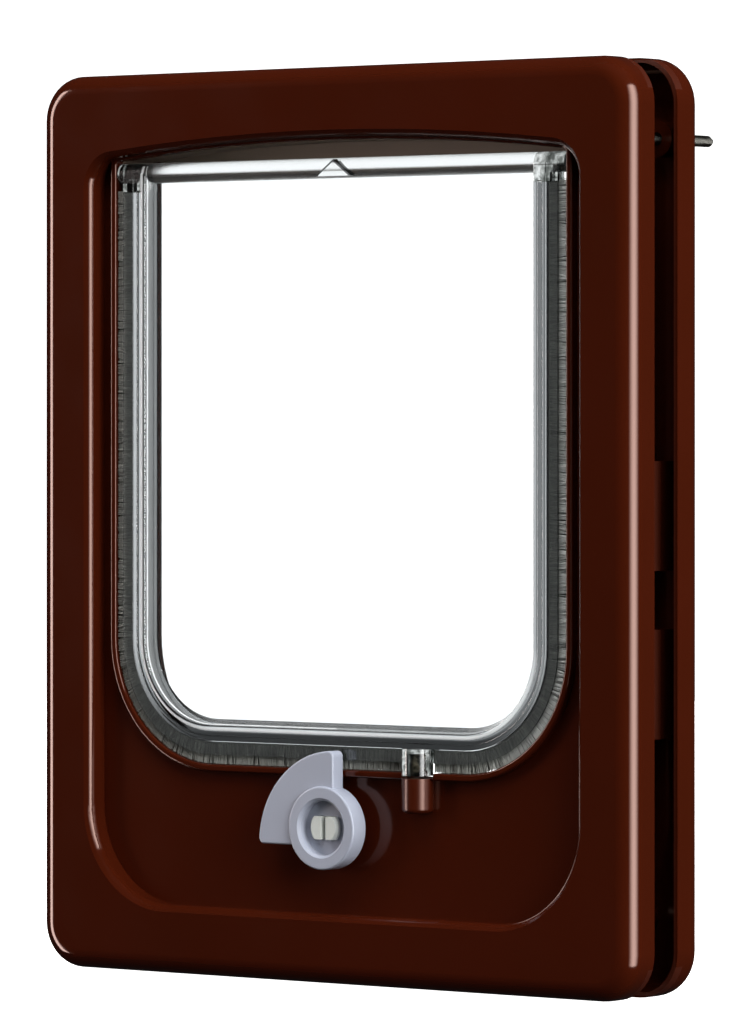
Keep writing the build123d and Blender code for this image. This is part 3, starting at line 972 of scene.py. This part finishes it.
line = brush_line()
foot = FLAP_BOTTOM + BACKING_INSET
long_line = [point for point in line if point[0] < POCKET_LEFT] + [(POCKET_LEFT, foot)]
short_line = [(POCKET_RIGHT, foot)] + [point for point in line if point[0] > POCKET_RIGHT]
# Real pile is too fine to show, so these bristles are thicker and fewer
brush_sizes = {
    "Spacing": 0.036 * MM,
    "Bristle Length": 5.45 * MM,
    "Bristle Radius": 0.11 * MM,
    "Half Depth": 0.72 * MM,
    "Side Lean": math.radians(6),
    "Depth Lean": math.radians(1),
    "Clump Lean": math.radians(45),
    "Clump Size": 2.2 * MM,
    "Backing": 0.9 * MM,
    "Fin Reach": 5.0 * MM,
    "Fin Thickness": 0.3 * MM,
}
brush = brush_tree()
for side, points in (("long", long_line), ("short", short_line)):
    grow(
        "brush_" + side,
        line_mesh("brush_line_" + side, points),
        brush,
        brush_sizes,
        "swing_flap",
        ["pile_strip_" + side],
    )


# Screws: threaded rods with a round head moulded into the front frame

SCREW_PLACES = ((-88.0, 219.5), (88.0, 219.5), (-81.5, 20.5), (81.5, 20.5))
HEAD_DEPTH = 3.4
POINT_SHARE = 0.6  # of the core's radius, at the tip's end


def screw_tree():
    """Machine screws on points: core, helical ridge, head and chamfered tip, pointing to the back."""
    sizes = ("Core Radius", "Ridge", "Pitch", "Turns", "Length", "Head Radius", "Head Height", "Tip Length")
    tree, given = new_tree("threaded_screws", sizes)
    shank = add_node(
        tree, "ShaderNodeMath", {"operation": "SUBTRACT"}, {0: given["Length"], 1: given["Tip Length"]}
    ).outputs[0]
    half_shank = add_node(tree, "ShaderNodeMath", {"operation": "MULTIPLY"}, {0: shank, 1: 0.5}).outputs[0]
    core = add_node(
        tree,
        "GeometryNodeMeshCylinder",
        inputs={"Vertices": 20, "Radius": given["Core Radius"], "Depth": shank},
    )
    core_place = add_node(tree, "ShaderNodeCombineXYZ", inputs={"Z": half_shank})
    core_set = add_node(
        tree,
        "GeometryNodeTransform",
        inputs={"Geometry": core.outputs["Mesh"], "Translation": core_place.outputs[0]},
    )
    tip_radius = add_node(
        tree, "ShaderNodeMath", {"operation": "MULTIPLY"}, {0: given["Core Radius"], 1: POINT_SHARE}
    )
    tip = add_node(
        tree,
        "GeometryNodeMeshCone",
        inputs={
            "Vertices": 20,
            "Radius Top": tip_radius.outputs[0],
            "Radius Bottom": given["Core Radius"],
            "Depth": given["Tip Length"],
        },
    )
    tip_place = add_node(tree, "ShaderNodeCombineXYZ", inputs={"Z": shank})
    tip_set = add_node(
        tree,
        "GeometryNodeTransform",
        inputs={"Geometry": tip.outputs["Mesh"], "Translation": tip_place.outputs[0]},
    )
    climb = add_node(
        tree, "ShaderNodeMath", {"operation": "MULTIPLY"}, {0: given["Pitch"], 1: given["Turns"]}
    ).outputs[0]
    helix = add_node(
        tree,
        "GeometryNodeCurveSpiral",
        inputs={
            "Resolution": 18,
            "Rotations": given["Turns"],
            "Start Radius": given["Core Radius"],
            "End Radius": given["Core Radius"],
            "Height": climb,
        },
    )
    upright = add_node(
        tree, "GeometryNodeSetCurveNormal", {"mode": "Z_UP"}, {"Curve": helix.outputs[0]}
    )
    ridge = add_node(
        tree,
        "GeometryNodeCurvePrimitiveCircle",
        {"mode": "RADIUS"},
        {"Resolution": 4, "Radius": given["Ridge"]},
    )
    thread = add_node(
        tree,
        "GeometryNodeCurveToMesh",
        inputs={"Curve": upright.outputs[0], "Profile Curve": ridge.outputs[0], "Fill Caps": True},
    )
    thread_start = add_node(
        tree, "ShaderNodeMath", {"operation": "SUBTRACT"}, {0: shank, 1: climb}
    )
    thread_place = add_node(tree, "ShaderNodeCombineXYZ", inputs={"Z": thread_start.outputs[0]})
    thread_set = add_node(
        tree,
        "GeometryNodeTransform",
        inputs={"Geometry": thread.outputs[0], "Translation": thread_place.outputs[0]},
    )
    head = add_node(
        tree,
        "GeometryNodeMeshCylinder",
        inputs={"Vertices": 24, "Radius": given["Head Radius"], "Depth": given["Head Height"]},
    )
    half_head = add_node(
        tree, "ShaderNodeMath", {"operation": "MULTIPLY"}, {0: given["Head Height"], 1: 0.5}
    )
    head_place = add_node(tree, "ShaderNodeCombineXYZ", inputs={"Z": half_head.outputs[0]})
    head_set = add_node(
        tree,
        "GeometryNodeTransform",
        inputs={"Geometry": head.outputs["Mesh"], "Translation": head_place.outputs[0]},
    )
    screw = add_node(tree, "GeometryNodeJoinGeometry")
    for part in (core_set, tip_set, thread_set, head_set):
        tree.links.new(part.outputs[0], screw.inputs[0])
    screws = add_node(
        tree,
        "GeometryNodeInstanceOnPoints",
        inputs={
            "Points": given["Geometry"],
            "Instance": screw.outputs[0],
            "Rotation": Euler((math.radians(-90), 0, 0)),
        },
    )
    whole = add_node(tree, "GeometryNodeRealizeInstances", inputs={0: screws.outputs[0]})
    dressed = add_node(
        tree, "GeometryNodeSetMaterial", inputs={"Geometry": whole.outputs[0], "Material": zinc_steel}
    )
    add_node(tree, "NodeGroupOutput", inputs={"Geometry": dressed.outputs[0]})
    return tree


screw_points = bpy.data.meshes.new("screw_points")
screw_points.from_pydata([at(across, HEAD_DEPTH, height) for across, height in SCREW_PLACES], [], [])
screw_sizes = {
    "Core Radius": 1.27 * MM,
    "Ridge": 0.23 * MM,
    "Pitch": 0.5 * MM,
    "Turns": 78.0,
    "Length": 46.6 * MM,
    "Head Radius": 2.8 * MM,
    "Head Height": 1.8 * MM,
    "Tip Length": 1.2 * MM,
}
grow("threaded_screws", screw_points, screw_tree(), screw_sizes, "frame", ["screws"])


# Floor, light and camera

HALF_FLOOR = 6.0  # metres
FLOOR_DROP = 0.2  # mm under the object
floor_corners = [
    (across * HALF_FLOOR, along * HALF_FLOOR, 0) for across, along in ((-1, -1), (1, -1), (1, 1), (-1, 1))
]
floor_mesh = bpy.data.meshes.new("floor")
floor_mesh.from_pydata(floor_corners, [], [range(4)])
floor = link_mesh("floor", floor_mesh)
floor.location.z = -FLOOR_DROP * MM
# The camera alone sees the floor, so that it shows in no reflection
floor.visible_glossy = False
floor.visible_diffuse = False
floor.visible_transmission = False
paper, paper_tree, _ = new_material("paper_white")
paper_shader = add_node(
    paper_tree,
    "ShaderNodeBsdfPrincipled",
    inputs={
        "Base Color": hex_colour("#f4f4f4"),
        "Roughness": 0.9,
        "Emission Color": hex_colour("#ffffff"),
        "Emission Strength": 1.4,
    },
)
add_node(paper_tree, "ShaderNodeOutputMaterial", inputs={"Surface": paper_shader.outputs["BSDF"]})
floor_mesh.materials.append(paper)

world = bpy.data.worlds.new("studio")
bpy.context.scene.world = world
world.use_nodes = True
studio = world.node_tree
studio.nodes.clear()
path = add_node(studio, "ShaderNodeLightPath").outputs
seen = add_node(
    studio,
    "ShaderNodeMath",
    {"operation": "MAXIMUM"},
    {0: path["Is Camera Ray"], 1: path["Is Transmission Ray"]},
)
room = add_node(
    studio, "ShaderNodeBackground", inputs={"Color": hex_colour("#ffffff"), "Strength": 0.015}
)
# The sweep is white behind the object and greyer on the side of its front
view = add_node(studio, "ShaderNodeTexCoord").outputs["Generated"]
towards_back = add_node(studio, "ShaderNodeSeparateXYZ", inputs={0: view}).outputs["Y"]
white = add_node(
    studio,
    "ShaderNodeMapRange",
    inputs={"Value": towards_back, "From Min": -0.3, "From Max": 0.4, "To Min": 0.45, "To Max": 1.4},
)
sweep = add_node(
    studio,
    "ShaderNodeBackground",
    inputs={"Color": hex_colour("#ffffff"), "Strength": white.outputs[0]},
)
backdrop = add_node(
    studio,
    "ShaderNodeMixShader",
    inputs={0: seen.outputs[0], 1: room.outputs[0], 2: sweep.outputs[0]},
)
add_node(studio, "ShaderNodeOutputWorld", inputs={"Surface": backdrop.outputs[0]})

LIGHT_AIM = Vector((0, 0, 0.12))  # metres, halfway up the object


def softbox(name, azimuth, elevation, distance, width, height, watts, colour):
    """Area light aimed at the object, with its angles in degrees and its sizes in metres. Azimuth 0 is
    straight in front, positive to the right."""
    turn = math.radians(azimuth)
    rise = math.radians(elevation)
    away = Vector((math.sin(turn) * math.cos(rise), -math.cos(turn) * math.cos(rise), math.sin(rise)))
    lamp = bpy.data.lights.new(name, "AREA")
    lamp.shape = "RECTANGLE"
    lamp.size = width
    lamp.size_y = height
    lamp.energy = watts
    lamp.color = hex_colour(colour)[:3]
    light = bpy.data.objects.new(name, lamp)
    light.location = LIGHT_AIM + away * distance
    light.rotation_euler = away.to_track_quat("Z", "Y").to_euler()
    light.visible_camera = False
    light.visible_transmission = False
    bpy.context.scene.collection.objects.link(light)
    return light


def fade_sides(light):
    """Lets a softbox fade from its middle to its left and right sides, so that its reflections do too."""
    light.data.use_nodes = True
    tree = light.data.node_tree
    tree.nodes.clear()
    spot = add_node(tree, "ShaderNodeNewGeometry").outputs["Parametric"]
    across = add_node(tree, "ShaderNodeSeparateXYZ", inputs={0: spot}).outputs["X"]
    arch = add_node(tree, "ShaderNodeMath", {"operation": "MULTIPLY"}, {0: across, 1: math.pi})
    rise = add_node(tree, "ShaderNodeMath", {"operation": "SINE"}, {0: arch.outputs[0]})
    bell = add_node(tree, "ShaderNodeMath", {"operation": "POWER"}, {0: rise.outputs[0], 1: 2.0})
    glow = add_node(tree, "ShaderNodeEmission", inputs={"Strength": bell.outputs[0]})
    add_node(tree, "ShaderNodeOutputLight", inputs={"Surface": glow.outputs[0]})


softbox(
    "left_strip", azimuth=-57, elevation=0, distance=1.6, width=0.32, height=1.5, watts=19, colour="#fff2ee"
)
right_panel = softbox(
    "right_panel", azimuth=78, elevation=6, distance=1.6, width=2.0, height=2.0, watts=150, colour="#ffffff"
)
fade_sides(right_panel)
overhead = softbox(
    "overhead", azimuth=10, elevation=70, distance=1.5, width=1.8, height=1.2, watts=30, colour="#ffffff"
)
back_panel = softbox(
    "back_panel", azimuth=-145, elevation=20, distance=1.6, width=1.6, height=1.4, watts=40, colour="#ffffff"
)
for light in (overhead, back_panel):
    light.visible_glossy = False

PHOTO_HEIGHT = 1024
FOCAL_PIXELS = 6755
HORIZON_RISE = 97.8  # pixels from the middle of the picture up to the horizon
SENSOR = 36.0
CAMERA_YAW = math.radians(38.4)
CAMERA_PLACE = at(1103.9, -1375.0, 149.0)
camera_data = bpy.data.cameras.new("camera")
camera_data.sensor_fit = "VERTICAL"
camera_data.sensor_height = SENSOR
camera_data.lens = SENSOR * FOCAL_PIXELS / PHOTO_HEIGHT
camera_data.shift_y = -HORIZON_RISE / PHOTO_HEIGHT
camera_data.clip_end = 50
camera = bpy.data.objects.new("camera", camera_data)
camera.location = CAMERA_PLACE
camera.rotation_euler = (math.radians(90), 0, CAMERA_YAW)
bpy.context.scene.collection.objects.link(camera)
bpy.context.scene.camera = camera
bpy.context.scene.view_settings.view_transform = "Standard"
